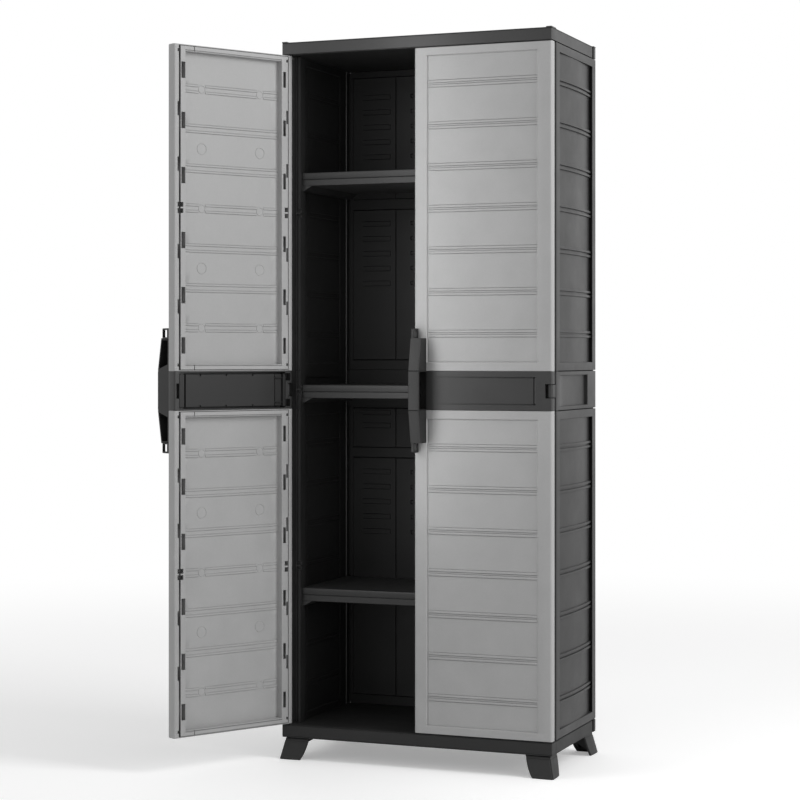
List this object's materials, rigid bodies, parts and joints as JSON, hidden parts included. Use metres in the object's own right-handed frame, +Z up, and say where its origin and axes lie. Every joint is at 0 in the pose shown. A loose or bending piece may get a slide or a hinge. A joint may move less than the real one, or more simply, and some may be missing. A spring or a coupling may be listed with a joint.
{
  "type": "garden storage cabinet",
  "caption": "Tall freestanding resin storage cabinet on splayed feet, with hinged double-wall doors, shelves, a belt round its middle and pull handles with padlock eyes",
  "frame": {"origin": "on the floor, under the middle of the cabinet's carcass", "axes": "+Z up, -Y towards whoever stands in front of the doors, +X to that person's right"},
  "size_m": [0.8973, 0.6423, 1.732],
  "materials": {
    "door_shell": "satin moulded",
    "side_panel": "satin moulded",
    "back_panel": "fine texture",
    "shelf": "fine texture",
    "frame": "fine texture",
    "belt": "fine texture",
    "handle": "satin moulded",
    "hinge_pin": "smooth"
  },
  "bodies": {
    "carcass": {"base": "frame", "top_cap": "frame", "foot_front_left": "frame", "foot_front_right": "frame", "foot_rear_left": "frame", "foot_rear_right": "frame", "side_panel_lower_left": "side_panel", "side_panel_upper_left": "side_panel", "side_panel_lower_right": "side_panel", "side_panel_upper_right": "side_panel", "side_connector_left": "side_panel", "side_connector_right": "side_panel", "back_panel_lower": "back_panel", "back_panel_upper": "back_panel", "back_connector": "back_panel", "shelf_lower": "shelf", "shelf_bracket_lower_left": "shelf", "shelf_bracket_lower_right": "shelf", "shelf_middle": "shelf", "shelf_bracket_middle_left": "shelf", "shelf_bracket_middle_right": "shelf", "shelf_upper": "shelf", "shelf_bracket_upper_left": "shelf", "shelf_bracket_upper_right": "shelf"},
    "left_door": {"left_door_outer_lower": "door_shell", "left_door_outer_upper": "door_shell", "left_door_inner_lower": "door_shell", "left_door_inner_upper": "door_shell", "left_door_belt": "belt", "left_door_belt_cover": "belt", "left_handle": "handle", "left_hinge_pin_lower": "hinge_pin", "left_hinge_pin_middle": "hinge_pin", "left_hinge_pin_upper": "hinge_pin"},
    "right_door": {"right_door_outer_lower": "door_shell", "right_door_outer_upper": "door_shell", "right_door_inner_lower": "door_shell", "right_door_inner_upper": "door_shell", "right_door_belt": "belt", "right_door_belt_cover": "belt", "right_handle": "handle", "right_hinge_pin_lower": "hinge_pin", "right_hinge_pin_middle": "hinge_pin", "right_hinge_pin_upper": "hinge_pin"}
  },
  "joints": [
    {"name": "left_door_hinge", "type": "hinge", "parent": "carcass", "child": "left_door", "pos_m": [-0.333, -0.166, 0.892], "axis": [0, 0, 1], "range_deg": [-60, 120]},
    {"name": "right_door_hinge", "type": "hinge", "parent": "carcass", "child": "right_door", "pos_m": [0.333, -0.166, 0.892], "axis": [0, 0, -1], "range_deg": [-180, 0]}
  ]
}
